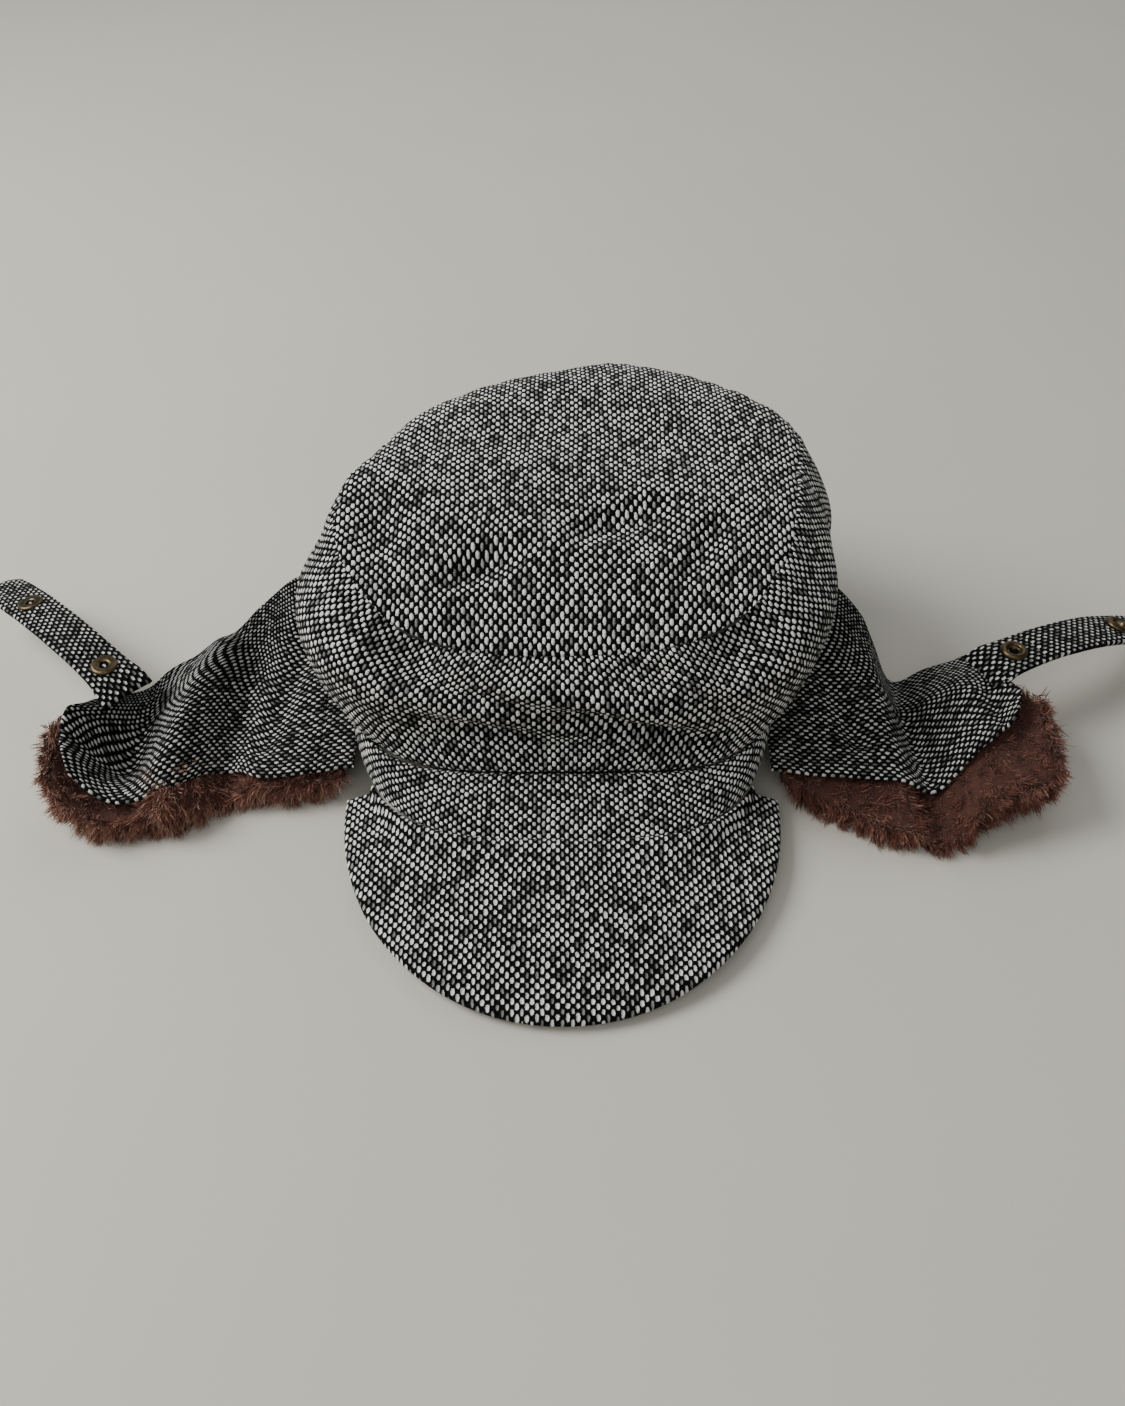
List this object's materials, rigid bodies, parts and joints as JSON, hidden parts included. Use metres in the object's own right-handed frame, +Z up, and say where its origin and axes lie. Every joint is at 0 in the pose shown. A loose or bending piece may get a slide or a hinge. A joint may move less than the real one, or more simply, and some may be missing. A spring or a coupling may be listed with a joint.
{
  "type": "trapper hat",
  "caption": "Peaked tweed winter cap with fur-lined ear flaps and neck flap folded out flat, and chin straps with brass press-snaps.",
  "frame": {"origin": "centre of the footprint on the surface the cap lies on", "axes": "+X toward the wearer's left, +Y toward the back of the head, +Z up; the peak points along -Y"},
  "size_m": [0.6066, 0.327, 0.1281],
  "materials": {
    "tweed": "coarse black and off-white plain-weave wool tweed",
    "faux_fur": "short dense brown pile",
    "satin_lining": "plain black satin",
    "peak_board": "matt",
    "canvas": "stiff unbleached canvas",
    "antique_brass": "dark antiqued brass"
  },
  "bodies": {
    "cap": {"top_panel": "tweed", "crown_side_strip": "tweed", "band": "tweed", "band_stiffener": "canvas", "sweatband": "satin_lining", "side_lining": "satin_lining", "top_lining": "satin_lining", "peak_cover_top": "tweed", "peak_board": "peak_board", "peak_cover_under": "tweed"},
    "left_ear_flap_base": {"left_ear_flap_base_tweed": "tweed", "left_ear_flap_base_fur": "faux_fur"},
    "left_ear_flap": {"left_ear_flap_tweed": "tweed", "left_ear_flap_fur": "faux_fur"},
    "right_ear_flap_base": {"right_ear_flap_base_tweed": "tweed", "right_ear_flap_base_fur": "faux_fur"},
    "right_ear_flap": {"right_ear_flap_tweed": "tweed", "right_ear_flap_fur": "faux_fur"},
    "neck_flap": {"neck_flap_tweed": "tweed", "neck_flap_fur": "faux_fur"},
    "left_strap_near": {"left_strap_near": "tweed", "left_snap_near_socket": "antique_brass", "left_snap_near_cap": "antique_brass"},
    "left_strap_far": {"left_strap_far": "tweed", "left_snap_far_socket": "antique_brass", "left_snap_far_cap": "antique_brass"},
    "right_strap_near": {"right_strap_near": "tweed", "right_snap_near_eyelet": "antique_brass", "right_snap_near_stud": "antique_brass"},
    "right_strap_far": {"right_strap_far": "tweed", "right_snap_far_eyelet": "antique_brass", "right_snap_far_stud": "antique_brass"}
  },
  "joints": [
    {"name": "left_ear_flap_drop", "type": "hinge", "parent": "cap", "child": "left_ear_flap_base", "pos_m": [0.08811, 0.0155, 0.016], "axis": [0.087, -0.9962, 0], "range_deg": [-65, 6]},
    {"name": "left_ear_flap_turn_up", "type": "hinge", "parent": "left_ear_flap_base", "child": "left_ear_flap", "pos_m": [0.11611, 0.0095, 0.0275], "axis": [0, -0.9891, -0.1475], "range_deg": [0, 70]},
    {"name": "right_ear_flap_drop", "type": "hinge", "parent": "cap", "child": "right_ear_flap_base", "pos_m": [-0.10389, 0.0155, 0.016], "axis": [0.0898, 0.996, 0], "range_deg": [-65, 6]},
    {"name": "right_ear_flap_turn_up", "type": "hinge", "parent": "right_ear_flap_base", "child": "right_ear_flap", "pos_m": [-0.13389, 0.0095, 0.0275], "axis": [0, 0.9891, 0.1475], "range_deg": [0, 70]},
    {"name": "neck_flap_fold", "type": "hinge", "parent": "cap", "child": "neck_flap", "pos_m": [-0.00789, 0.1075, 0.016], "axis": [1, 0, 0], "range_deg": [-35, 15]},
    {"name": "left_strap_root_bend", "type": "hinge", "parent": "left_ear_flap", "child": "left_strap_near", "pos_m": [0.19371, 0.00431, 0.03705], "axis": [0.4553, -0.8903, 0], "range_deg": [-50, 30]},
    {"name": "left_strap_middle_bend", "type": "hinge", "parent": "left_strap_near", "child": "left_strap_far", "pos_m": [0.23404, 0.02493, 0.03422], "axis": [0.4553, -0.8903, 0], "range_deg": [-80, 60]},
    {"name": "right_strap_root_bend", "type": "hinge", "parent": "right_ear_flap", "child": "right_strap_near", "pos_m": [-0.21254, -0.00668, 0.03609], "axis": [0.6919, 0.722, 0], "range_deg": [-50, 30]},
    {"name": "right_strap_middle_bend", "type": "hinge", "parent": "right_strap_near", "child": "right_strap_far", "pos_m": [-0.24525, 0.02467, 0.03678], "axis": [0.6919, 0.722, 0], "range_deg": [-80, 60]}
  ]
}
